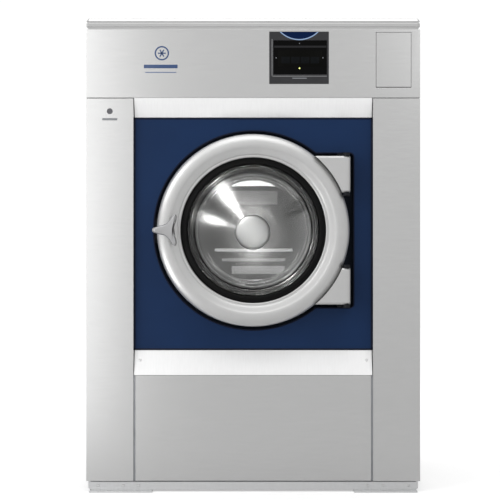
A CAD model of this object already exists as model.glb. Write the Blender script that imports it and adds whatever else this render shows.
"""Looks of the commercial front-loading laundry machine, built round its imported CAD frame."""
import math
import bmesh
import bpy
from mathutils import Matrix, Vector


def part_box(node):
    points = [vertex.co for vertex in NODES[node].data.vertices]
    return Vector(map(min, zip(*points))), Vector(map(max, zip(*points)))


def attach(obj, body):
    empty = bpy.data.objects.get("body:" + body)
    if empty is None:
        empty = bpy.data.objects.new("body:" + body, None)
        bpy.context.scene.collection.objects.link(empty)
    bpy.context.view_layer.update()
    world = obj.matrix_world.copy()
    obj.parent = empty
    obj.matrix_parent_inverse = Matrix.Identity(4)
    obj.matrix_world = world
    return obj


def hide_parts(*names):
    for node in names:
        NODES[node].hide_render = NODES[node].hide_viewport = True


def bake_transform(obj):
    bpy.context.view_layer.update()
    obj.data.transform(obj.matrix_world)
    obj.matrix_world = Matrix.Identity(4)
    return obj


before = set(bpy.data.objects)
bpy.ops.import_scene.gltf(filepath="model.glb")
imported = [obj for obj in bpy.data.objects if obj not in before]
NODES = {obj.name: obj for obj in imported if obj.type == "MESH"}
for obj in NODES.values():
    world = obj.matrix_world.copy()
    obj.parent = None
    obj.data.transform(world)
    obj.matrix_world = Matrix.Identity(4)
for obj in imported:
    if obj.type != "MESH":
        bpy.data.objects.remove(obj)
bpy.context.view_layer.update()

MM = 0.001


# ---------- Places taken from the frame ----------

def half_width(node):
    """Half of a node's size along X, which is the radius of a round one."""
    lo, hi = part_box(node)
    return (hi.x - lo.x) / 2


ring_lo, ring_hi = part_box("door_ring")
bezel_lo, bezel_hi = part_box("display_bezel")
screen_lo, screen_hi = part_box("display_screen")
dish_lo, dish_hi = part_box("drum_back")
RING_R = half_width("door_ring")
RING_IN = RING_R - 72 * MM
RING_FRONT, RING_BACK = ring_lo.y, ring_hi.y
CENTRE_Z = (ring_lo.z + ring_hi.z) / 2
DOOR_AXIS = (0.0, 0.0, CENTRE_Z)
FRONT_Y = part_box("control_fascia")[0].y
REAR_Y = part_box("rear_panel")[1].y


# ---------- Materials ----------

class Nodes:
    """A node tree, with short ways to add nodes and links."""

    def __init__(self, owner):
        owner.use_nodes = True
        self.tree = owner.node_tree

    def node(self, kind, **values):
        """Adds a node with its values. An underscore stands for a space."""
        made = self.tree.nodes.new("ShaderNode" + kind)
        for key, value in values.items():
            socket = key.replace("_", " ")
            if socket in made.inputs:
                made.inputs[socket].default_value = value
            else:
                setattr(made, key, value)
        return made

    def link(self, a, out, b, into):
        """Links an output of node a to an input of node b."""
        self.tree.links.new(a.outputs[out], b.inputs[into])


class Shader(Nodes):
    """A principled material, with the textures that the finishes below are made of."""

    def __init__(self, name, colour, rough, metal=0.0, **sockets):
        self.mat = bpy.data.materials.new(name)
        super().__init__(self.mat)
        self.bsdf = self.tree.nodes["Principled BSDF"]
        sockets.update(Base_Color=(*colour, 1.0), Roughness=rough, Metallic=metal)
        for key, value in sockets.items():
            self.bsdf.inputs[key.replace("_", " ")].default_value = value

    def noise(self, scale, detail, stretch=(1, 1, 1)):
        """A noise in object coordinates, finer along the axes with the larger stretch."""
        mapping = self.node("Mapping", Scale=stretch)
        self.link(self.node("TexCoord"), "Object", mapping, "Vector")
        noise = self.node("TexNoise", Scale=scale, Detail=detail)
        self.link(mapping, "Vector", noise, "Vector")
        return noise

    def roughen(self, source, low, high):
        """Drives the roughness from a noise, between low and high."""
        ramp = self.node("MapRange", interpolation_type="SMOOTHSTEP",
                         From_Min=0.2, From_Max=0.8, To_Min=low, To_Max=high)
        self.link(source, 0, ramp, "Value")
        self.link(ramp, 0, self.bsdf, "Roughness")

    def tint(self, source, colour, dark, light):
        """Drives the base colour from a noise, between a colour's dark and light shade."""
        ramp = self.node("ValToRGB")
        ramp.color_ramp.interpolation = "EASE"
        for stop, position, factor in zip(ramp.color_ramp.elements, (0.25, 0.75), (dark, light)):
            stop.position = position
            stop.color = (*shade(colour, factor), 1)
        self.link(source, 0, ramp, "Fac")
        self.link(ramp, "Color", self.bsdf, "Base Color")

    def bump(self, source, distance, strength):
        """Raises the surface by a noise, by up to a distance in metres."""
        bump = self.node("Bump", Strength=strength, Distance=distance)
        self.link(source, 0, bump, "Height")
        self.link(bump, "Normal", self.bsdf, "Normal")


def shade(colour, factor):
    """A colour made darker or lighter."""
    return tuple(min(1.0, c * factor) for c in colour)


def brushed(name, colour, rough, grain=(1, 1, 9), metal=1.0):
    """Satin steel: a fine grain along one axis and broad, faint changes in gloss."""
    s = Shader(name, colour, rough, metal)
    fine = s.noise(26.0, 2.0, grain)
    s.tint(fine, colour, 0.985, 1.015)
    s.roughen(s.noise(1.6, 1.0), rough - 0.02, rough + 0.02)
    s.bump(fine, 0.00001, 0.25)
    return s.mat


def spun(name, colour, rough, anisotropy):
    """Spun steel: grooves that run round the drum's axis."""
    s = Shader(name, colour, rough, 1.0, Anisotropic=anisotropy, Anisotropic_Rotation=0.25)
    s.link(s.node("Tangent", direction_type="RADIAL", axis="Y"), "Tangent", s.bsdf, "Tangent")
    from_axis = s.node("Mapping", Location=(0, 0, -CENTRE_Z))
    s.link(s.node("TexCoord"), "Object", from_axis, "Vector")
    split = s.node("SeparateXYZ")
    s.link(from_axis, "Vector", split, "Vector")
    flat = s.node("CombineXYZ")
    s.link(split, "X", flat, "X")
    s.link(split, "Z", flat, "Z")
    radius = s.node("VectorMath", operation="LENGTH")
    s.link(flat, "Vector", radius, 0)
    grooves = s.node("TexNoise", noise_dimensions="1D", Scale=900.0, Detail=2.0)
    s.link(radius, "Value", grooves, "W")
    s.roughen(grooves, rough - 0.03, rough + 0.03)
    s.bump(grooves, 0.00001, 0.3)
    s.tint(grooves, colour, 0.97, 1.02)
    return s.mat


def painted(name, colour, rough, **sockets):
    """Powder coat: a slight orange peel and faint changes of shade."""
    s = Shader(name, colour, rough, **sockets)
    broad = s.noise(6.0, 2.0)
    s.tint(broad, colour, 0.94, 1.06)
    s.roughen(broad, rough - 0.04, rough + 0.04)
    s.bump(s.noise(420.0, 2.0), 0.00006, 0.5)
    return s.mat


def moulded(name, colour, rough, grain=900.0, **sockets):
    """Moulded plastic or rubber with a fine, even grain."""
    s = Shader(name, colour, rough, **sockets)
    s.tint(s.noise(30.0, 2.0), colour, 0.92, 1.08)
    s.roughen(s.noise(12.0, 2.0), rough - 0.05, rough + 0.05)
    s.bump(s.noise(grain, 2.0), 0.00005, 0.4)
    return s.mat


def cast(name, colour, rough):
    """Sand-cast metal under paint: a coarse skin and uneven shade."""
    s = Shader(name, colour, rough)
    s.tint(s.noise(9.0, 5.0), colour, 0.8, 1.2)
    s.roughen(s.noise(20.0, 3.0), rough - 0.08, rough + 0.08)
    s.bump(s.noise(260.0, 4.0), 0.0004, 0.6)
    return s.mat


def glowing(name, colour, strength):
    """A lit or printed mark on the screen or the bezel."""
    s = Shader(name, shade(colour, 0.4), 0.3, Specular_IOR_Level=0.04,
               Emission_Color=(*colour, 1), Emission_Strength=strength)
    s.roughen(s.noise(40.0, 2.0), 0.25, 0.35)
    return s.mat


def clear_glass(name):
    """Pressed glass with very faint changes in gloss."""
    s = Shader(name, (0.985, 0.985, 0.98), 0.02, Transmission_Weight=1.0, IOR=1.46)
    s.roughen(s.noise(5.0, 2.0), 0.0, 0.012)
    return s.mat


ALONG_X, ALONG_Y, EVEN = (9, 1, 1), (1, 9, 1), (1, 1, 1)
STEEL = brushed("stainless", (0.63, 0.63, 0.628), 0.25)
STEEL_TRIM = brushed("trim_steel", (0.94, 0.94, 0.94), 0.34, ALONG_X, metal=0.6)
STEEL_LID = brushed("lid_steel", (0.64, 0.64, 0.638), 0.25, ALONG_Y)
STEEL_REAR = brushed("rear_steel", (0.55, 0.555, 0.56), 0.42)
STEEL_TUB = brushed("tub_steel", (0.55, 0.555, 0.56), 0.38, ALONG_Y)
STEEL_DRUM = brushed("drum_steel", (0.66, 0.665, 0.67), 0.24, ALONG_Y)
GROUND_STEEL = brushed("ground_steel", (0.62, 0.62, 0.62), 0.22)
SCREW_STEEL = brushed("screw_steel", (0.74, 0.74, 0.74), 0.32)
DISH_STEEL = spun("spun_steel", (0.36, 0.36, 0.356), 0.235, 0.93)
HUB_STEEL = spun("hub_steel", (0.50, 0.505, 0.50), 0.45, 0.2)
ZINC = brushed("zinc_plate", (0.66, 0.665, 0.67), 0.42, ALONG_X, metal=0.6)
BRASS = brushed("brass_thread", (0.62, 0.44, 0.20), 0.32)
ALLOY = brushed("ring_alloy", (0.65, 0.65, 0.646), 0.42, EVEN, metal=0.8)
ALLOY_HANDLE = brushed("handle_alloy", (0.50, 0.50, 0.505), 0.30, EVEN, metal=0.75)
ALLOY_ARM = brushed("arm_alloy", (0.56, 0.56, 0.557), 0.34, EVEN, metal=0.5)
BLUE = painted("blue_paint", (0.0075, 0.0275, 0.088), 0.34, Specular_IOR_Level=0.13)
FRONT_ENAMEL = painted("front_enamel", (0.012, 0.018, 0.032), 0.5, Specular_IOR_Level=0.15)
BLACK_PAINT = painted("black_paint", (0.007, 0.008, 0.011), 0.4, Specular_IOR_Level=0.2)
FRAME_GREY = painted("frame_paint", (0.25, 0.26, 0.28), 0.45)
INVERTER_GREY = painted("inverter_paint", (0.16, 0.18, 0.21), 0.45)
SPRING_BLACK = painted("spring_paint", (0.02, 0.02, 0.022), 0.38)
BADGE_BLUE = painted("badge_paint", (0.035, 0.075, 0.19), 0.35)
BADGE_PALE = painted("badge_pale", (0.14, 0.19, 0.32), 0.35)
LABEL_GREY = painted("label_paint", (0.10, 0.10, 0.11), 0.4)
LABEL_PALE = painted("label_pale", (0.24, 0.25, 0.26), 0.4)
BLACK_RUBBER = moulded("seal_rubber", (0.0025, 0.0025, 0.0026), 0.42, Specular_IOR_Level=0.12)
EDGING = moulded("edging_rubber", (0.006, 0.010, 0.028), 0.5, Specular_IOR_Level=0.15)
HOSE = moulded("hose_rubber", (0.02, 0.02, 0.02), 0.55)
BELT = moulded("belt_rubber", (0.015, 0.015, 0.015), 0.6)
BEZEL = moulded("bezel_plastic", (0.034, 0.034, 0.037), 0.38, Specular_IOR_Level=0.22)
SCREEN_BLACK = moulded("screen_glass", (0.002, 0.002, 0.002), 0.10, 200.0, Specular_IOR_Level=0.06)
FRAME_LINE = moulded("frame_line", (0.16, 0.16, 0.165), 0.4)
GREY_PLASTIC = moulded("grey_plastic", (0.32, 0.33, 0.35), 0.45)
WHITE_PLASTIC = moulded("white_plastic", (0.78, 0.78, 0.77), 0.42)
DARK_PLASTIC = moulded("dark_plastic", (0.06, 0.062, 0.065), 0.42)
RED_PLASTIC = moulded("red_plastic", (0.50, 0.02, 0.015), 0.32)
SWITCH_YELLOW = moulded("switch_plate_yellow", (0.75, 0.52, 0.03), 0.4)
FILTER_BLUE = moulded("inlet_filter", (0.05, 0.16, 0.42), 0.4)
BOARD = moulded("circuit_board", (0.01, 0.09, 0.04), 0.4, 200.0)
IRON = cast("cast_weight", (0.09, 0.09, 0.095), 0.6)
MOTOR_PAINT = cast("motor_paint", (0.05, 0.10, 0.17), 0.45)
SCREEN_HEADER = glowing("screen_header_glow", (0.030, 0.030, 0.032), 0.4)
SCREEN_PICTURE = glowing("screen_picture_glow", (0.0035, 0.0035, 0.003), 0.5)
SCREEN_TILE = glowing("screen_tile_glow", (0.006, 0.007, 0.008), 0.5)
LED = glowing("status_glow", (0.70, 0.78, 0.22), 1.5)
PALE_MARK = glowing("pale_mark", (0.30, 0.31, 0.33), 0.35)
DIM_MARK = glowing("dim_mark", (0.30, 0.31, 0.33), 0.5)
CAP_RIM = glowing("cap_rim_glow", (0.30, 0.42, 0.62), 0.6)
CAP_BLUE = glowing("cap_blue_glow", (0.003, 0.014, 0.06), 0.5)
GLASS = clear_glass("bowl_glass")


# ---------- Mesh helpers ----------

def new_object(name, data):
    """An object of the given data, linked into the scene."""
    made = bpy.data.objects.new(name, data)
    bpy.context.scene.collection.objects.link(made)
    return made


def new_mesh(name, bm):
    """A mesh of bm, which is freed."""
    mesh = bpy.data.meshes.new(name)
    bm.to_mesh(mesh)
    bm.free()
    return mesh


def add_mesh(name, bm, material, body, sharp=32.0):
    """A piece that rides on a body, smooth but for edges sharper than some degrees."""
    bmesh.ops.recalc_face_normals(bm, faces=bm.faces)
    for face in bm.faces:
        face.smooth = True
    for edge in bm.edges:
        if len(edge.link_faces) == 2 and edge.calc_face_angle(0) > math.radians(sharp):
            edge.smooth = False
    piece = new_object(name, new_mesh(name, bm))
    piece.data.materials.append(material)
    if body:
        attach(piece, body)
    return piece


def near(across, along, *offsets):
    """Points of an outline, each given in millimetres from the point (across, along)."""
    return [(across + a * MM, along + b * MM) for a, b in offsets]


def evenly(low, high, count):
    """Values in equal steps from low to high."""
    return [low + (high - low) * k / (count - 1) for k in range(count)]


def circle(steps):
    """Angles in equal steps round a full turn."""
    return [2 * math.pi * k / steps for k in range(steps)]


def arc(across, along, radius, start, end, steps=8):
    """Points on an arc about (across, along), with its ends in degrees from the across axis."""
    angles = [math.radians(start + (end - start) * i / steps) for i in range(steps + 1)]
    return [(across + radius * math.cos(a), along + radius * math.sin(a)) for a in angles]


def bridge(bm, rings, closed=False):
    """Joins each ring of vertices to the next. A ring of one vertex is a pole."""
    pairs = list(zip(rings, rings[1:]))
    if closed:
        pairs.append((rings[-1], rings[0]))
    for a, b in pairs:
        steps = max(len(a), len(b))
        for k in range(steps):
            n = (k + 1) % steps
            quad = (a[k % len(a)], a[n % len(a)], b[n % len(b)], b[k % len(b)])
            corners = list(dict.fromkeys(quad))
            if len(corners) > 2:
                bm.faces.new(corners)


def skin(bm, rings):
    """A closed solid through a row of rings. Gives back its two end faces."""
    bridge(bm, rings)
    return [bm.faces.new(rings[0]), bm.faces.new(list(reversed(rings[-1])))]


def place(centre, axis, u, v, along):
    """The point at (u, v) across an axis through centre."""
    if axis == "Y":
        return (centre[0] + u, along, centre[2] + v)
    return (centre[0] + u, centre[1] + v, along)


def revolve(bm, profile, centre, axis="Y", steps=160):
    """Turns a closed profile of (radius, along) points about an axis through centre."""
    rings = []
    for r, along in profile:
        angles = circle(steps) if r > 1e-6 else [0.0]
        rings.append([bm.verts.new(place(centre, axis, r * math.cos(a), r * math.sin(a), along))
                      for a in angles])
    bridge(bm, rings, closed=True)


def slab(bm, low, high, round_by, segments=2, turn=None):
    """A box with rounded edges, turned by a matrix if one is given."""
    made = bmesh.ops.create_cube(bm, size=1.0)["verts"]
    low, high = Vector(low), Vector(high)
    for v in made:
        v.co = (low + high) / 2 + v.co * (high - low)
    edges = list({e for v in made for e in v.link_edges})
    out = bmesh.ops.bevel(bm, geom=edges, offset=round_by, segments=segments, affect="EDGES",
                          profile=0.5)
    if turn is not None:
        for v in {v for f in out["faces"] for v in f.verts} | {v for v in made if v.is_valid}:
            v.co = turn @ v.co


def rod(bm, centre, radius, low, high, axis="Y", steps=32, chamfer=0.6 * MM):
    """A rod along an axis with a small chamfer at both ends."""
    c = min(chamfer, radius / 3, (high - low) / 3)
    profile = [(0, low), (radius - c, low), (radius, low + c),
               (radius, high - c), (radius - c, high), (0, high)]
    revolve(bm, list(dict.fromkeys(profile)), centre, axis, steps)


def extrude(bm, corners, axis, level):
    """A prism on a flat outline, with its other end at a level along axis 0, 1 or 2."""
    face = bm.faces.new([bm.verts.new(corner) for corner in corners])
    made = bmesh.ops.extrude_face_region(bm, geom=[face])["geom"]
    for v in made:
        if isinstance(v, bmesh.types.BMVert):
            v.co[axis] = level


def spin(centre, angle):
    """A turn about the line along Y through centre, for a shape made at the origin."""
    return Matrix.Translation(centre) @ Matrix.Rotation(angle, 4, "Y")


def cut_with(piece, bm):
    """Cuts a piece with a closed mesh, which is thrown away."""
    bmesh.ops.recalc_face_normals(bm, faces=bm.faces)
    cutter = new_object("cutter", new_mesh("cutter", bm))
    cut = piece.modifiers.new("cut", "BOOLEAN")
    cut.solver = "EXACT"
    cut.object = cutter
    bpy.context.view_layer.update()
    shown = piece.evaluated_get(bpy.context.evaluated_depsgraph_get())
    mesh = bpy.data.meshes.new_from_object(shown)
    piece.modifiers.remove(cut)
    old, piece.data = piece.data, mesh
    bpy.data.meshes.remove(old)
    bpy.data.objects.remove(cutter)


# ---------- Carried-over CAD nodes ----------

def finish_cad(node, material, bevel):
    """Gives a CAD node its material and softly broken edges, bevelled by millimetres."""
    piece = NODES[node]
    piece.data.materials.clear()
    piece.data.materials.append(material)
    piece.modifiers.new("weld", "WELD").merge_threshold = 1e-6
    edge = piece.modifiers.new("edge", "BEVEL")
    edge.width = bevel * MM
    edge.segments = 2
    edge.limit_method = "ANGLE"
    edge.angle_limit = math.radians(35)
    edge.harden_normals = True
    for polygon in piece.data.polygons:
        polygon.use_smooth = True
    piece.modifiers.new("normals", "WEIGHTED_NORMAL").keep_sharp = True


# each material's nodes, with the width of their broken edges in millimetres
CAD_LOOKS = (
    (STEEL, {"left_column": 0.8, "right_column": 0.8, "control_fascia": 0.8, "service_panel": 0.8,
             "left_side_panel": 0.6, "right_side_panel": 0.6, "dispenser_flap": 0.5}),
    (STEEL_TRIM, {"upper_trim": 0.6, "lower_trim": 0.6}),
    (STEEL_REAR, {"rear_panel": 0.4, "rear_service_cover": 0.4}),
    (STEEL_TUB, {"outer_tub": 0.6, "tub_back": 0.8}),
    (STEEL_DRUM, {"drum_shell": 0.8, "drum_lifters": 3.0}),
    (GROUND_STEEL, {"flap_pin": 0.2, "drain_disc": 0.4, "damper_rods": 0.6, "heater_elements": 0.5,
                    "shaft_bearings": 0.6, "motor_rotor": 0.8, "lock_bolt": 0.8}),
    (ZINC, {"foot_plates": 0.8, "front_plinth": 0.5}),
    (IRON, {"counterweights": 4.0, "bearing_housing": 1.5, "drum_shaft": 2.0, "drum_pulley": 1.2}),
    (FRAME_GREY, {"base_frame": 1.0, "cabinet_frame": 1.5, "tub_cradle": 1.2}),
    (BLACK_PAINT, {"damper_tubes": 1.0, "hinge_brackets": 1.0, "lock_housing": 1.2}),
    (BLUE, {"door_panel": 0.5}), (FRONT_ENAMEL, {"tub_front": 1.0}), (EDGING, {"panel_edging": 1.2}),
    (BEZEL, {"display_bezel": 1.0}), (SCREEN_BLACK, {"display_screen": 0.3}),
    (BOARD, {"control_board": 0.3}), (INVERTER_GREY, {"drive_inverter": 1.0}),
    (GREY_PLASTIC, {"vent_pipe": 0.8, "drain_pipe": 1.0}), (WHITE_PLASTIC, {"dispenser_box": 0.8}),
    (DARK_PLASTIC, {"supply_inlet": 1.2}),
)
for look, edge_widths in CAD_LOOKS:
    for cad_name, edge_mm in edge_widths.items():
        finish_cad(cad_name, look, edge_mm)


# ---------- Door ----------

def make_door_ring():
    """The door's ring: a rounded crown, a shallow slope inside it and a rolled lip at the glass."""
    bm = bmesh.new()
    crown_w, crown_d = 35 * MM, 30 * MM
    crest = RING_R - crown_w
    profile = near(RING_R, RING_BACK, (-6, 0), (0, -1))
    profile += [(crest + crown_w * math.cos(a), RING_FRONT + crown_d * (1 - math.sin(a)))
                for a in evenly(0, math.pi / 2, 16)]
    profile += near(RING_IN, RING_FRONT, (34, 0.5), (31, 1.3), (29.5, 2.3), (28.5, 3.0), (22, 5.6),
                    (15, 8.8), (10.5, 11.2), (9.4, 12.4), (8.4, 13.8))
    profile += arc(RING_IN + 4 * MM, RING_FRONT + 17.5 * MM, 4 * MM, -55, -180)
    profile += near(RING_IN, RING_BACK, (0, -1), (6, 0))
    profile += near(RING_IN, RING_FRONT, (8, 30))
    profile += near(RING_R, RING_FRONT, (-6, 30))
    revolve(bm, profile, DOOR_AXIS, steps=224)
    piece = add_mesh("door_ring_body", bm, ALLOY, "door", sharp=38)
    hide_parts("door_ring")


def make_seal():
    """The black sealing ring with a rounded bead round the glass and two lips at the tub's mouth."""
    bm = bmesh.new()
    lo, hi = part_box("door_seal")
    front, back, lip = lo.y, hi.y, 2.5 * MM
    outer = half_width("door_seal")
    inner = outer - 21 * MM
    profile = [(outer, RING_BACK - 2 * MM)]
    profile += near(outer, front, (0, 2), (-1.5, 0.6), (-4, 0.6), (-4.6, 2.2), (-6, 2.2), (-6.6, 0.8))
    profile += arc(inner + 6 * MM, front + 6 * MM, 6 * MM, -70, -180)
    profile += near(inner, front, (0, 30), (3, 36)) + near(inner, back, (3, -3))
    profile += arc(inner + 5.5 * MM, back - lip, lip, 180, 20, 6) + near(inner, back, (9, -4))
    profile += arc(inner + 13 * MM, back - lip, lip, 160, 0, 6)
    revolve(bm, profile, DOOR_AXIS, steps=200)
    piece = add_mesh("sealing_ring", bm, BLACK_RUBBER, "door")
    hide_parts("door_seal")


def make_glass():
    """The pressed glass bowl: a rolled rim, a tapered wall, an inner ledge and a domed bottom."""
    bm = bmesh.new()
    lo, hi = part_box("door_glass")
    rim_r, rim_y = half_width("door_glass"), lo.y
    foot_r, foot_y = 178 * MM, hi.y - 13 * MM
    wall, turn_r, dome_r, rise = 7 * MM, 16 * MM, 0.9 * foot_r, 12 * MM
    dome = [(dome_r * f, foot_y + rise * (1 - f ** 2)) for f in evenly(1, 0, 31)]
    outside = near(rim_r, rim_y, (0, 3), (0, 26), (-2, 34))
    outside += arc(foot_r - turn_r, foot_y - turn_r, turn_r, 5, 84) + dome
    inside = [(r, y - wall) for r, y in reversed(dome)]
    inside += arc(foot_r - turn_r, foot_y - turn_r, turn_r - wall, 84, 5)
    inside += near(foot_r, rim_y + 60 * MM, (0, 4), (0.6, 2), (4.5, 0), (5.5, -2))
    inside += near(rim_r - wall, rim_y, (-2, 34), (0, 26), (0, 3))
    inside += arc(rim_r - wall / 2, rim_y + wall / 2, wall / 2, 180, 360)[1:-1]
    revolve(bm, outside + inside, DOOR_AXIS, steps=200)
    piece = add_mesh("glass_bowl", bm, GLASS, "door", sharp=50)
    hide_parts("door_glass")


def make_hinge_arms():
    """Two flat arms with broad bevels and a rounded barrel at the hinge pin."""
    lo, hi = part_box("hinge_arms")
    front, plate_back, foot_back = lo.y, lo.y + 24 * MM, hi.y
    barrel_r = (plate_back - front) / 2
    axis_x, axis_y = hi.x - barrel_r, front + barrel_r
    foot_x, inner_x = axis_x - 16 * MM, 150 * MM
    apart, half_tall, chamfer, bore_r, margin = 170 * MM, 55 * MM, 5.5 * MM, 8.05 * MM, 5 * MM
    section = arc(axis_x, axis_y, barrel_r, -90, 90, 12)
    section += [(foot_x, plate_back), (foot_x, foot_back), (inner_x, foot_back), (inner_x, front)]
    for name, side in (("hinge_arm_lower", -1), ("hinge_arm_upper", 1)):
        mid = CENTRE_Z + side * apart
        z0, z1 = mid - half_tall, mid + half_tall
        bm = bmesh.new()
        extrude(bm, [(x, y, z0) for x, y in section], 2, z1)
        bmesh.ops.recalc_face_normals(bm, faces=bm.faces)
        rim = [e for e in bm.edges if abs(e.verts[0].co.z - e.verts[1].co.z) < 1e-7
               and max(e.verts[0].co.y, e.verts[1].co.y) < axis_y + 1 * MM]
        bmesh.ops.bevel(bm, geom=rim, offset=chamfer, segments=1, affect="EDGES")
        piece = add_mesh(name, bm, ALLOY_ARM, "door", sharp=40)
        ring = bmesh.new()
        rod(ring, DOOR_AXIS, RING_R + 0.1 * MM, RING_FRONT - 20 * MM, RING_BACK + 40 * MM, "Y", 256, 0)
        cut_with(piece, ring)
        bore = bmesh.new()
        rod(bore, (axis_x, axis_y, 0), bore_r, z0 - margin, z1 + margin, "Z", 48, 0)
        cut_with(piece, bore)
        if side < 0:
            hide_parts("hinge_arms")


def smooth_loop(points, times):
    """Chaikin corner cutting of a closed outline."""
    for _ in range(times):
        out = []
        for a, b in zip(points, points[1:] + points[:1]):
            out += [(a[0] * s + b[0] * (1 - s), a[1] * s + b[1] * (1 - s)) for s in (0.75, 0.25)]
        points = out
    return points


def inset_loop(points, amount):
    """Moves each point of a closed outline inwards along its normal."""
    area = sum(a[0] * b[1] - b[0] * a[1] for a, b in zip(points, points[1:] + points[:1]))
    out = []
    for k, (x, z) in enumerate(points):
        a, b = points[k - 2], points[(k + 2) % len(points)]
        dx, dz = b[0] - a[0], b[1] - a[1]
        step = math.copysign(amount, area) / math.hypot(dx, dz)
        out.append((x - dz * step, z + dx * step))
    return out


def make_handle():
    """The three-lobed handle: a ball on the left arm, two horns on the right and a boss behind."""
    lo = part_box("door_handle")[0]
    axis = (lo.x + 48 * MM, 0, CENTRE_Z)
    upper = [(-44, 7.5), (-34, 10.5), (-26, 13), (-14, 15.5), (-6, 19), (0, 24.5), (6, 32), (11, 40),
             (15, 46.5), (22.5, 48.5), (26.5, 41), (25.5, 31), (21.5, 20), (18.5, 9)]
    outline = upper + [(17.5, 0)] + [(x, -z) for x, z in reversed(upper)]
    points = near(axis[0], axis[2], *smooth_loop(outline, 3))
    crown = [(0, 5), (0.7, 3.6), (2, 2.2), (4.2, 1), (7.5, 0), (18, 0), (23, 0.9), (26, 2.8)]
    bm = bmesh.new()
    rings = [[bm.verts.new((x, lo.y + depth * MM, z)) for x, z in inset_loop(points, inset * MM)]
             for depth, inset in crown]
    bmesh.ops.triangulate(bm, faces=skin(bm, rings), ngon_method="EAR_CLIP")
    piece = add_mesh("handle_grip", bm, ALLOY_HANDLE, "handle", sharp=50)
    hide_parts("door_handle")
    bm = bmesh.new()
    tip = Matrix.Translation((axis[0] - 39 * MM, lo.y + 13 * MM, CENTRE_Z))
    bmesh.ops.create_uvsphere(bm, u_segments=32, v_segments=20, radius=9.0 * MM, matrix=tip)
    add_mesh("handle_ball", bm, ALLOY_HANDLE, "handle", sharp=60)
    make_handle_shaft(axis, lo.y + 26 * MM)


def make_handle_shaft(axis, back):
    """The boss behind the handle, and the spindle and collar that work the bolt inside."""
    bm = bmesh.new()
    boss = near(0, back, (0, -3), (17.5, -3), (17, 0), (15.4, 3))
    boss += near(0, RING_FRONT, (15, -1.6), (14, -0.5), (10, -0.5))
    boss += near(0, RING_BACK, (10, -1), (9, 0), (0, 0))
    revolve(bm, boss, axis, steps=56)
    add_mesh("handle_boss", bm, ALLOY_HANDLE, "handle", sharp=40)
    bm = bmesh.new()
    bolt_lo, bolt_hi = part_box("lock_bolt")
    collar = (bolt_lo.y + bolt_hi.y) / 2 + 9 * MM
    rod(bm, axis, 8 * MM, RING_BACK, collar + 1 * MM, "Y", 40)
    rod(bm, axis, 16 * MM, collar, collar + 6 * MM, "Y", 48, 1 * MM)
    add_mesh("latch_collar", bm, GROUND_STEEL, "handle")


make_door_ring()
make_seal()
make_glass()
make_hinge_arms()
make_handle()


# ---------- Drum ----------

def make_drum_back():
    """The dished back with rolled steps, and the round hub cap."""
    bm = bmesh.new()
    rim, cone_r, cap_r = half_width("drum_shell") - 2.2 * MM, 300 * MM, 62 * MM
    y_rim, y_cap = dish_hi.y - 3 * MM, dish_lo.y + 8 * MM
    front = [(rim, y_rim)] + near(cone_r, y_rim, (14, 0), (0, -2), (-12, -6))
    front += near(0, y_rim, (205, -17), (198, -19), (192, -22), (120, -33), (92, -37.5), (84, -38))
    front += near(cap_r, y_cap, (8, 1), (0, 0)) + [(0, y_cap)]
    back = [(0, y_cap + 2.5 * MM), (cap_r, y_cap + 2.5 * MM), (cone_r, y_rim + 2.5 * MM),
            (rim, y_rim + 2.8 * MM)]
    revolve(bm, front + back, DOOR_AXIS, steps=240)
    piece = add_mesh("drum_back_dish", bm, DISH_STEEL, "drum", sharp=40)
    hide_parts("drum_back")
    bm = bmesh.new()
    cap = near(0, dish_lo.y, (0, 0.2), (30, 0.5), (50, 1.6), (56, 2.6), (59.5, 4.5), (60, 6),
               (60, 8), (0, 8))
    revolve(bm, cap, DOOR_AXIS, steps=120)
    add_mesh("hub_cap", bm, HUB_STEEL, "drum", sharp=45)


make_drum_back()


# ---------- Lid and seam strips ----------

def rounded_rectangle(half_x, y0, y1, corner):
    """Points round a rectangle with rounded corners, starting at the front right."""
    points = []
    for x, y, start in ((half_x - corner, y0 + corner, -90), (half_x - corner, y1 - corner, 0),
                        (corner - half_x, y1 - corner, 90), (corner - half_x, y0 + corner, 180)):
        points += arc(x, y, corner, start, start + 90, 6)
    return points


def make_lid():
    """The lid: a rolled bright bead, a shadow groove, a flat band and an undercut lower lip."""
    lo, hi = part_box("top_panel")
    profile = near(0, hi.z, (8, 0), (6.6, -0.3), (5.6, -1.2), (5, -2.8), (1.4, -7), (0.5, -8), (0, -9),
                   (0.4, -9.6), (6, -10.2), (6, -14.6), (0.4, -15.2), (0, -15.8))
    profile += near(0, lo.z, (0, 9), (0.5, 8), (6, 7.4), (6, 0), (8, 0)) + near(0, hi.z, (8, -6))
    bm = bmesh.new()
    rings = []
    for inset, z in profile:
        corner = max(1 * MM, 9 * MM - inset)
        outline = rounded_rectangle(hi.x - inset, lo.y + inset, hi.y - inset, corner)
        rings.append([bm.verts.new((x, y, z)) for x, y in outline])
    skin(bm, rings)
    piece = add_mesh("lid", bm, STEEL_LID, "root", sharp=25)
    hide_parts("top_panel")


def make_seam_strips():
    """Grey strips that close the seams between the service panel and the columns."""
    column_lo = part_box("right_column")[0]
    panel_lo, panel_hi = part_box("service_panel")
    bm = bmesh.new()
    for side in (-1, 1):
        x0, x1 = sorted((side * (panel_hi.x + 0.2 * MM), side * (column_lo.x - 0.2 * MM)))
        slab(bm, (x0, FRONT_Y + 3 * MM, panel_lo.z), (x1, FRONT_Y + 9 * MM, panel_hi.z), 0.8 * MM)
    add_mesh("seam_strips", bm, GREY_PLASTIC, "root")


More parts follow.
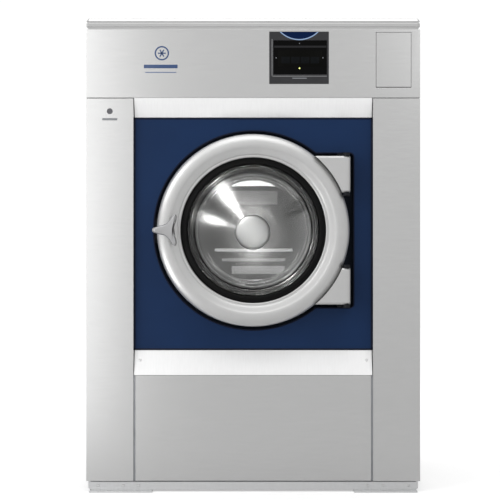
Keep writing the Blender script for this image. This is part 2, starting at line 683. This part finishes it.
def make_panel_gasket():
    """The dark strip round the edge of the blue panel, where it meets the trims and the columns."""
    lo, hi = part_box("door_panel")
    wide, proud = 5 * MM, 1.6 * MM
    bm = bmesh.new()
    for x0, x1, z0, z1 in ((lo.x, hi.x, hi.z - wide, hi.z), (lo.x, hi.x, lo.z, lo.z + wide),
                           (lo.x, lo.x + wide, lo.z, hi.z), (hi.x - wide, hi.x, lo.z, hi.z)):
        slab(bm, (x0, lo.y - proud, z0), (x1, lo.y, z1), 0.6 * MM)
    add_mesh("panel_gasket", bm, EDGING, "root")


make_lid()
make_seam_strips()
make_panel_gasket()


# ---------- Display and badges ----------

def thin_plate(name, x, z, y, material, round_by, thick=0.5):
    """A thin plate in front of the plane y. x, z, round_by and thick are in millimetres."""
    bm = bmesh.new()
    slab(bm, (x[0] * MM, y - thick * MM, z[0] * MM), (x[1] * MM, y, z[1] * MM), round_by * MM)
    add_mesh(name, bm, material, "root")


def make_screen():
    """The screen's header, picture with blank tiles, two dim marks, top mark and status light."""
    x0, x1, z0, z1 = (v / MM for v in (screen_lo.x, screen_hi.x, screen_lo.z, screen_hi.z))
    y, mid = screen_lo.y, (x0 + x1) / 2 - 2
    thin_plate("screen_header", (x0 + 2, x1 - 2), (z1 - 22, z1 - 16), y, SCREEN_HEADER,
               0.1, 0.3)
    thin_plate("screen_picture", (x0 + 14, x1 - 14), (z0 + 24, z1 - 30), y, SCREEN_PICTURE,
               0.1, 0.2)
    tiles, margin, gap = 4, 22, 2
    step = (x1 - x0 - 2 * margin) / tiles
    for i in range(tiles):
        left = x0 + margin + i * step
        thin_plate(f"screen_tile_{i + 1}", (left + gap, left + step - gap), (z0 + 34, z0 + 54),
                   y - 0.2 * MM, SCREEN_TILE, 0.05, 0.15)
    for name, x, z, r, look in (("status_light", mid, z0 + 19, 2.4, LED),
                                ("top_mark", mid, z1 - 9, 1.4, PALE_MARK),
                                ("left_mark", x0 + 8, z0 + 51, 1.6, DIM_MARK),
                                ("right_mark", x1 - 12, z0 + 51, 1.6, DIM_MARK)):
        bm = bmesh.new()
        rod(bm, (x * MM, 0, z * MM), r * MM, y - 0.5 * MM, y, "Y", 24, 0.1 * MM)
        add_mesh(name, bm, look, "root")


def make_bezel_marks():
    """The pale line along the screen's left and lower edge, and the strip below it."""
    x0, x1, z0, z1 = (v / MM for v in (screen_lo.x, screen_hi.x, screen_lo.z, screen_hi.z))
    left, low, wide, face = x0 - 6, z0 - 7, 3, bezel_lo.y
    thin_plate("frame_line_left", (left, left + wide), (low, z1 + 4), face + 0.3 * MM, FRAME_LINE,
               0.1)
    thin_plate("frame_line_low", (left, x1), (low, low + wide), face + 0.3 * MM, FRAME_LINE,
               0.1)
    mid, strip_z = (x0 + x1) / 2, bezel_lo.z / MM + 16
    thin_plate("bezel_strip", (mid - 24, mid + 20), (strip_z, strip_z + 3), face + 0.4 * MM, PALE_MARK,
               0.1, 0.6)


def make_blue_cap():
    """The blue cap over the screen: a circle's segment cut off by the bezel's top edge."""
    mid = (screen_lo.x + screen_hi.x) / 2 - 3 * MM
    top, face = bezel_hi.z - 1.2 * MM, bezel_lo.y
    radius, sag = 83 * MM, 25 * MM
    centre_z = top - sag + radius
    for name, inset, proud, look in (("cap_rim", 0, 0.12, CAP_RIM), ("cap_field", 3.2, 0.3, CAP_BLUE)):
        r = radius - inset * MM
        half = math.degrees(math.acos((centre_z - top) / r))
        outline = arc(mid, centre_z, r, -90 - half, -90 + half, 40)
        bm = bmesh.new()
        extrude(bm, [(x, face - proud * MM, z) for x, z in outline], 1, face + 0.3 * MM)
        add_mesh(name, bm, look, "root")


def make_badges():
    """A plain ring-and-star emblem, a name strip with nothing on it and a small label."""
    lo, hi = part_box("badge_plates")
    front, back = lo.y, hi.y
    centre = (-279 * MM, 0, 1339 * MM)
    bm = bmesh.new()
    profile = near(0, back, (22, 0)) + near(0, front, (22, 0.2), (21.7, 0), (18, 0), (17.7, 0.2))
    revolve(bm, profile + near(0, back, (17.7, 0)), centre, steps=96)
    for angle in circle(6)[:3]:
        slab(bm, (-12 * MM, front, -1.8 * MM), (12 * MM, back, 1.8 * MM), 0.2 * MM, 1,
             spin(centre, angle))
    piece = add_mesh("emblem", bm, BADGE_BLUE, "root")
    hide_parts("badge_plates")
    thin_plate("name_strip", (-334, -231), (1293, 1304), back, BADGE_BLUE, 0.2, 0.8)
    thin_plate("name_underline", (-330, -235), (1279, 1282), back, BADGE_PALE, 0.2, 0.6)
    bm = bmesh.new()
    rod(bm, (-438 * MM, 0, 1162 * MM), 9 * MM, front, back, "Y", 48, 0.2 * MM)
    add_mesh("label_dot", bm, LABEL_GREY, "root")
    thin_plate("label_strip", (-461, -415), (1134, 1141), back, LABEL_PALE, 0.2, 0.8)


make_screen()
make_bezel_marks()
make_blue_cap()
make_badges()


# ---------- Screws ----------

def screw_head(bm, at, normal, radius, height):
    """A pan head with a hexagonal recess, standing on a surface at a point."""
    turn = Matrix.Translation(at) @ Vector(normal).to_track_quat("Z", "Y").to_matrix().to_4x4()
    angles = circle(36)
    sixth = math.pi / 6
    recess = [0.4 * radius * math.cos(sixth) / math.cos(a % (2 * sixth) - sixth) for a in angles]
    rows = [([share * radius] * len(angles), rise) for share, rise in
            ((1, 0), (1, 0.35), (0.93, 0.75), (0.75, 1), (0.46, 1))]
    rows += [(recess, 1), (recess, 0.35)]
    rings = []
    for reach, rise in rows:
        rings.append([bm.verts.new(turn @ Vector((r * math.cos(a), r * math.sin(a), rise * height)))
                      for r, a in zip(reach, angles)])
    skin(bm, rings)


def make_front_screws():
    """The plinth's six screws and the two in the sloped face of the lower trim."""
    bm = bmesh.new()
    plinth_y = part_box("front_plinth")[0].y
    for x in (-474, -397, -350, 350, 397, 474):
        screw_head(bm, (x * MM, plinth_y, 19 * MM), (0, -1, 0), 4 * MM, 3 * MM)
    trim_lo, trim_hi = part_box("lower_trim")
    rise, run, up = trim_hi.z - trim_lo.z, 35 * MM, 45 * MM
    for x in (-347, 347):
        at = (x * MM, FRONT_Y + run * up / rise, trim_lo.z + up)
        screw_head(bm, at, (0, -rise, run), 5 * MM, 2 * MM)
    piece = add_mesh("front_screw_heads", bm, SCREW_STEEL, "root")
    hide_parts("front_screws")


def make_rear_screws():
    """Pan-head screws round the rear cover and along the panel's edges."""
    bm = bmesh.new()
    cover_lo, cover_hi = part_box("rear_service_cover")
    panel_lo, panel_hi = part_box("rear_panel")
    edge = 9 * MM
    low, high = cover_lo.z + edge, cover_hi.z - edge
    spots = [(x, cover_hi.y, z) for x in (cover_lo.x + edge, cover_hi.x - edge)
             for z in evenly(low, high, 6)]
    spots += [(x, cover_hi.y, z) for x in evenly(cover_lo.x, cover_hi.x, 5)[1:-1]
              for z in (low, high)]
    spots += [(side * (panel_hi.x - 14 * MM), panel_hi.y, z) for side in (-1, 1)
              for z in evenly(panel_lo.z + 30 * MM, panel_hi.z - 30 * MM, 7)]
    for spot in spots:
        screw_head(bm, spot, (0, 1, 0), 4 * MM, 2.4 * MM)
    add_mesh("rear_screw_heads", bm, SCREW_STEEL, "root")


make_front_screws()


# ---------- Rear fittings and hoses ----------

def make_inlets():
    """Three solenoid valves with coils, nuts and threaded spigots."""
    lo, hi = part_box("inlet_valves")
    z = (lo.z + hi.z) / 2
    inside = REAR_Y - 2 * MM
    for i, x in enumerate((-150 * MM, -60 * MM, 30 * MM)):
        bm = bmesh.new()
        slab(bm, (x - 25 * MM, lo.y, z - 30 * MM), (x + 25 * MM, inside, z - 2 * MM), 3 * MM)
        slab(bm, (x - 16 * MM, lo.y + 6 * MM, z - 2 * MM), (x + 16 * MM, lo.y + 44 * MM, z + 30 * MM),
             4 * MM, 3)
        rod(bm, (x, 0, z), 19 * MM, inside - 24 * MM, inside, "Y", 48, 1 * MM)
        piece = add_mesh(f"inlet_body_{i + 1}", bm, WHITE_PLASTIC, "root")
        if i == 0:
            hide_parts("inlet_valves")
        bm = bmesh.new()
        revolve(bm, thread_profile(inside, hi.y), (x, 0, z), steps=48)
        add_mesh(f"inlet_thread_{i + 1}", bm, BRASS, "root", sharp=25)
        bm = bmesh.new()
        rod(bm, (x, 0, z), 9 * MM, inside, REAR_Y + 12 * MM, "Y", 32)
        add_mesh(f"inlet_filter_{i + 1}", bm, FILTER_BLUE, "root")


def thread_profile(start, end):
    """A spigot's outline: its bore, a plain stretch and twenty turns of thread."""
    root, crest, pitch, turns = 12.2, 13.2, 1.8, 20
    profile = near(0, end, (9, 0)) + near(0, start, (9, 0), (root, 0), (root, 8))
    for k in range(turns):
        at = 9 + k * pitch
        profile += near(0, start, (root, at), (crest, at + 0.45 * pitch), (crest, at + 0.6 * pitch))
    return profile + near(0, end, (root, -1), (root - 0.6, 0))


def make_knob():
    """The red rotary switch: a ribbed skirt, a grip bar with rounded ends and its spindle."""
    lo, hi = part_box("isolator_knob")
    x, z = (lo.x + hi.x) / 2, (lo.z + hi.z) / 2
    skirt, top = REAR_Y + 3 * MM, REAR_Y + 14 * MM
    bm = bmesh.new()
    rings = []
    for r, y, rib in ((24, skirt, 0.25), (24, skirt + 7 * MM, 0.25), (22.5, top - 1 * MM, 0.25),
                      (21, top, 0)):
        reach = [((r - rib * (1 + math.cos(36 * a))) * MM, a) for a in circle(144)]
        rings.append([bm.verts.new((x + d * math.cos(a), y, z + d * math.sin(a))) for d, a in reach])
    rings.append([bm.verts.new((x, top, z))])
    bridge(bm, rings)
    bm.faces.new(list(reversed(rings[0])))
    slab(bm, (x - 6 * MM, top - 2 * MM, z - 22 * MM), (x + 6 * MM, hi.y, z + 22 * MM), 2.5 * MM, 3)
    rod(bm, (x, 0, z), 5 * MM, lo.y, skirt + 1 * MM, "Y", 32)
    piece = add_mesh("switch_knob", bm, RED_PLASTIC, "switch")
    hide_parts("isolator_knob")
    bm = bmesh.new()
    slab(bm, (x - 1.2 * MM, hi.y - 0.6 * MM, z + 8 * MM), (x + 1.2 * MM, hi.y, z + 20 * MM),
         0.2 * MM, 1)
    add_mesh("knob_pointer", bm, WHITE_PLASTIC, "switch")
    bm = bmesh.new()
    half = 36 * MM
    slab(bm, (x - half, REAR_Y, z - half), (x + half, REAR_Y + 1.6 * MM, z + half), 0.6 * MM)
    add_mesh("switch_plate", bm, SWITCH_YELLOW, "root")


def corrugated(bm, x, y, low, high, outer, cuff):
    """A hose with a plain cuff at each end and even folds between them."""
    fold, lip, deep = 7 * MM, 3 * MM, 2.6 * MM
    count = int((high - low - 2 * cuff) / fold)
    step = (high - low - 2 * cuff) / count
    profile = [(outer - lip, low), (outer, low), (outer, low + cuff)]
    for k in range(count):
        at = low + cuff + k * step
        profile += [(outer - deep, at + 0.2 * step), (outer - deep, at + 0.4 * step),
                    (outer, at + 0.6 * step), (outer, at + 0.85 * step)]
    profile += [(outer, high - cuff), (outer, high), (outer - lip, high)]
    revolve(bm, profile, (x, y, 0), axis="Z", steps=56)


def make_clip(name, x, y, at, outer, body):
    """A hose clip: a band round the hose and its screw housing."""
    bm = bmesh.new()
    band = near(outer, at, (0, -3.5), (1.2, -3.5), (1.2, 3.5), (0, 3.5))
    revolve(bm, band, (x, y, 0), axis="Z", steps=48)
    slab(bm, (x - outer - 8 * MM, y - 5 * MM, at - 4.5 * MM),
         (x - outer + 0.5 * MM, y + 5 * MM, at + 4.5 * MM), 1 * MM)
    add_mesh(name, bm, GROUND_STEEL, body)


def make_hoses():
    """Corrugated hoses between the fixed fittings and the moving tub, with a clip at each end."""
    cuff = 12 * MM
    # each hose: its place, its two ends and its radius in metres, and the bodies that hold its ends
    for name, x, y, low, high, outer, below, above in (
            ("fill_hose", 0.402, -0.300, 1.000, 1.240, 0.018, "tub_unit", "root"),
            ("drain_hose", -0.200, -0.100, 0.250, 0.330, 0.038, "root", "tub_unit")):
        bm = bmesh.new()
        corrugated(bm, x, y, low, high, outer, cuff)
        hose = add_mesh(name, bm, HOSE, None, sharp=50)
        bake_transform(hose)
        if name == "fill_hose":
            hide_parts("tub_hoses")
        make_clip(f"{name}_clip_low", x, y, low + cuff / 2, outer, below)
        make_clip(f"{name}_clip_high", x, y, high - cuff / 2, outer, above)


make_inlets()
make_knob()
make_rear_screws()
make_hoses()


# ---------- Suspension and drive ----------

def spring_coil(bm, centre, radius, wire, low, high, turns):
    """A helical spring about a vertical axis, with its turns closer together at both ends."""
    up, full_turn = Vector((0, 0, 1)), 2 * math.pi
    steps_per_turn, sides, closing = 28, 10, 0.6
    rings = []
    for t in evenly(0, 1, int(turns * steps_per_turn) + 1):
        angle = full_turn * turns * t
        ease = t - closing * math.sin(full_turn * t) / full_turn
        out = Vector((math.cos(angle), math.sin(angle), 0))
        at = Vector((*centre, low + wire + (high - low - 2 * wire) * ease)) + out * radius
        rings.append([bm.verts.new(at + out * wire * math.cos(b) + up * wire * math.sin(b))
                      for b in circle(sides)])
    skin(bm, rings)


def make_springs():
    """Four coil springs with a cup at each end."""
    base, top = 95 * MM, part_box("tub_cradle")[0].z
    coils, cups_low, cups_high = bmesh.new(), bmesh.new(), bmesh.new()
    for at in ((x * MM, y * MM) for x in (-330, 330) for y in (-270, 380)):
        spring_coil(coils, at, 34 * MM, 6 * MM, base + 4 * MM, top - 4 * MM, 6.5)
        for bm, z0, z1 in ((cups_low, base, base + 5 * MM), (cups_high, top - 5 * MM, top)):
            rod(bm, (*at, 0), 40 * MM, z0, z1, "Z", 56, 1 * MM)
    piece = add_mesh("suspension_coils", coils, SPRING_BLACK, None)
    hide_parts("suspension_springs")
    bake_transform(piece)
    add_mesh("spring_cups_low", cups_low, GROUND_STEEL, "root")
    add_mesh("spring_cups_high", cups_high, GROUND_STEEL, "tub_unit")


def make_motor():
    """A finned motor with two end shields, hung by two rails from its mounting plate."""
    lo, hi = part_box("drive_motor")
    r = half_width("drive_motor")
    axis = (0, 0, lo.z + r)
    bm = bmesh.new()
    rod(bm, axis, r - 14 * MM, lo.y + 34 * MM, hi.y - 30 * MM, "Y", 72, 0)
    for angle in circle(36):
        slab(bm, (-2 * MM, lo.y + 38 * MM, r - 16 * MM), (2 * MM, hi.y - 34 * MM, r - 0.4 * MM),
             0.7 * MM, 1, spin(axis, angle))
    rear = near(0, hi.y, (0, 0), (40, 0), (48, -8)) + near(r, hi.y, (-12, -14), (0, -20), (0, -34))
    revolve(bm, rear + near(0, hi.y, (0, -34)), axis, steps=72)
    front = [(0, lo.y)] + near(r, lo.y, (-14, 0), (-3, 8), (0, 16), (0, 38))
    revolve(bm, front + near(0, lo.y, (0, 38)), axis, steps=72)
    slab(bm, (-80 * MM, lo.y + 40 * MM, hi.z - 16 * MM), (80 * MM, hi.y - 40 * MM, hi.z), 2 * MM)
    for x in (-62 * MM, 62 * MM):
        slab(bm, (x - 9 * MM, lo.y + 46 * MM, axis[2] + 40 * MM),
             (x + 9 * MM, hi.y - 46 * MM, hi.z - 12 * MM), 3 * MM)
    piece = add_mesh("motor_case", bm, MOTOR_PAINT, "tub_unit")
    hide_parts("drive_motor")


def make_belt():
    """A ribbed belt that follows the outline of both pulleys."""
    lo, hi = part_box("drive_belt")
    big_z, small_z = CENTRE_Z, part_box("drive_motor")[0].z + 98 * MM
    big_r, small_r = half_width("drive_belt") - 5 * MM, 45 * MM
    lean = math.asin((big_r - small_r) / (big_z - small_z))
    path = [(big_z, big_r, a) for a in evenly(-lean, math.pi + lean, 73)]
    path += [(small_z, small_r, a) for a in evenly(math.pi + lean, 2 * math.pi - lean, 25)]
    ribs = 6
    wide = (hi.y - lo.y) / ribs
    section = [(5.0, lo.y), (5.0, hi.y)]
    for k in range(ribs):
        left = hi.y - k * wide
        section += [(0.7, left - 0.15 * wide), (0.7, left - 0.35 * wide), (2.6, left - 0.5 * wide)]
    section += [(0.7, lo.y + 0.35 * wide), (0.7, lo.y + 0.15 * wide)]
    bm = bmesh.new()
    rings = []
    for z, r, a in path:
        reach = [(r + out * MM, y) for out, y in section]
        rings.append([bm.verts.new((d * math.cos(a), y, z + d * math.sin(a))) for d, y in reach])
    bridge(bm, rings, closed=True)
    piece = add_mesh("ribbed_belt", bm, BELT, "tub_unit", sharp=40)
    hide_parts("drive_belt")


make_springs()
make_motor()
make_belt()


# ---------- Floor, lights and camera ----------

def make_floor():
    """A pale floor that glows a little to the eye, and less in reflections."""
    bm = bmesh.new()
    size = 12.0
    corners = [(-size, -size, 0), (size, -size, 0), (size, size, 0), (-size, size, 0)]
    bm.faces.new([bm.verts.new(c) for c in corners])
    floor = new_object("floor", new_mesh("floor", bm))
    s = Shader("floor_white", (0.74, 0.74, 0.74), 0.8, Emission_Color=(1, 1, 1, 1))
    seen = s.node("MapRange", To_Min=0.04, To_Max=0.5)
    s.link(s.node("LightPath"), "Is Camera Ray", seen, "Value")
    s.link(seen, "Result", s.bsdf, "Emission Strength")
    floor.data.materials.append(s.mat)


def make_world():
    """White to the camera; to all else, a studio that is a little brighter on the left."""
    world = bpy.data.worlds.new("studio")
    bpy.context.scene.world = world
    w = Nodes(world)
    w.tree.nodes.clear()
    sky = w.node("Background")
    white = w.node("Background", Color=(1, 1, 1, 1), Strength=1.05)
    split = w.node("SeparateXYZ")
    across = w.node("MapRange", From_Min=-1.0, From_Max=1.0, To_Min=1.14, To_Max=0.82)
    mix = w.node("MixShader")
    w.link(w.node("TexCoord"), "Generated", split, "Vector")
    w.link(split, "X", across, "Value")
    w.link(across, 0, sky, "Strength")
    w.link(w.node("LightPath"), "Is Camera Ray", mix, "Fac")
    w.link(sky, 0, mix, 1)
    w.link(white, 0, mix, 2)
    w.link(mix, 0, w.node("OutputWorld"), "Surface")


def make_camera():
    """A long lens, level, at the height of the machine's middle, square to its front."""
    data = bpy.data.cameras.new("camera")
    camera = new_object("camera", data)
    distance, view_width = 6.0, 1.527
    side, height = -0.0098, 0.738
    data.sensor_width = 36.0
    data.lens = data.sensor_width * distance / view_width
    data.clip_end = 60.0
    camera.location = (side, FRONT_Y - distance, height)
    camera.rotation_euler = (math.radians(90), 0, 0)
    bpy.context.scene.camera = camera


def area_light(name, at, target, size, power, pieces=(), state="INCLUDE"):
    """A softbox that the camera doesn't see. It lights only the named pieces, or all but them."""
    data = bpy.data.lights.new(name, "AREA")
    data.shape = "RECTANGLE"
    data.size, data.size_y = size
    data.energy = power
    light = new_object(name, data)
    light.location = at
    light.rotation_mode = "QUATERNION"
    light.rotation_quaternion = (Vector(target) - Vector(at)).to_track_quat("-Z", "Y")
    light.visible_camera = False
    if pieces:
        lit = bpy.data.collections.new(name + "_lights")
        for piece in pieces:
            lit.objects.link(bpy.data.objects[piece])
        for entry in lit.collection_objects:
            entry.light_linking.link_state = state
        light.light_linking.receiver_collection = lit


def light_casing():
    """Soft light on the casing, and lamps of their own for the handle, the ring and the trim."""
    handle = ("handle_grip", "handle_ball")
    shaded = (*handle, "door_ring_body", "lid", "left_side_panel", "right_side_panel")
    area_light("key", (-1.2, -2.3, 1.19), (-0.85, FRONT_Y, 1.12), (1.2, 2.5), 10.2, shaded, "EXCLUDE")
    area_light("right_fill", (1.15, -2.3, 1.85), (0.8, FRONT_Y, 1.5), (0.9, 0.9), 1.9, shaded,
               "EXCLUDE")
    area_light("handle_side", (-2.2, -2.0, 0.95), (-0.25, RING_FRONT, CENTRE_Z), (0.9, 2.1), 12.0,
               handle)
    for name, z, power in (("ring_high", 1.60, 4.2), ("ring_low", 0.08, 6.5)):
        area_light(name, (-1.25, -0.85, z), (-0.2, RING_FRONT, CENTRE_Z), (0.7, 0.7), power,
                   ("door_ring_body",))
    area_light("trim_glow", (0, -1.35, 0.10), (0, FRONT_Y, 1.10), (2.0, 0.4), 2.1, ("upper_trim",))
    area_light("overhead", (0, -1.2, 3.6), (0, -0.4, 0.6), (2.6, 2.0), 22, ("floor",), "EXCLUDE")
    area_light("rear", (0.5, 4.2, 2.6), (0, 0.5, 0.8), (3.0, 2.4), 14)


def light_drum():
    """A soft glow and two bright wedges on the drum's back, from lamps inside the door."""
    dish = ("drum_back_dish", "hub_cap")
    area_light("drum_front", (0, -0.24, CENTRE_Z), (0, 1, CENTRE_Z), (0.14, 0.56), 0.11, dish)
    reach, inward = 0.33, 0.2
    for name, degrees, power in (("wedge_high", 125, 1.4), ("wedge_low", 162, 0.34)):
        turn = math.radians(degrees)
        x, z = reach * math.cos(turn), reach * math.sin(turn)
        aim = (inward * x, dish_lo.y, CENTRE_Z + inward * z)
        area_light(name, (x, -0.22, CENTRE_Z + z), aim, (0.05, 0.05), power, dish)


def light_glass():
    """Level strips in front of the machine, which show in the glass bowl alone."""
    strip_y = -3.4
    # each strip: its place and size in metres, and its power in watts
    for name, x, z, wide, high, power in (
            ("strip_low", 0.0, 1.082, 1.02, 0.040, 0.58), ("strip_mid", 0.0, 1.21, 0.83, 0.040, 0.24),
            ("strip_high", -0.06, 1.343, 0.69, 0.105, 0.60), ("strip_top", 0.0, 1.57, 0.64, 0.19, 3.6),
            ("strip_brow", 0.0, 1.93, 0.60, 0.42, 5.4), ("strip_floor", 0.04, 0.125, 1.9, 0.24, 26.0),
            ("strip_sill", 0.0, 0.397, 0.62, 0.18, 0.45)):
        area_light(name, (x, strip_y, z), (x, 0, z), (wide, high), power, ("glass_bowl",))


make_floor()
make_world()
light_casing()
light_drum()
light_glass()
make_camera()
bpy.context.scene.view_settings.view_transform = "Standard"
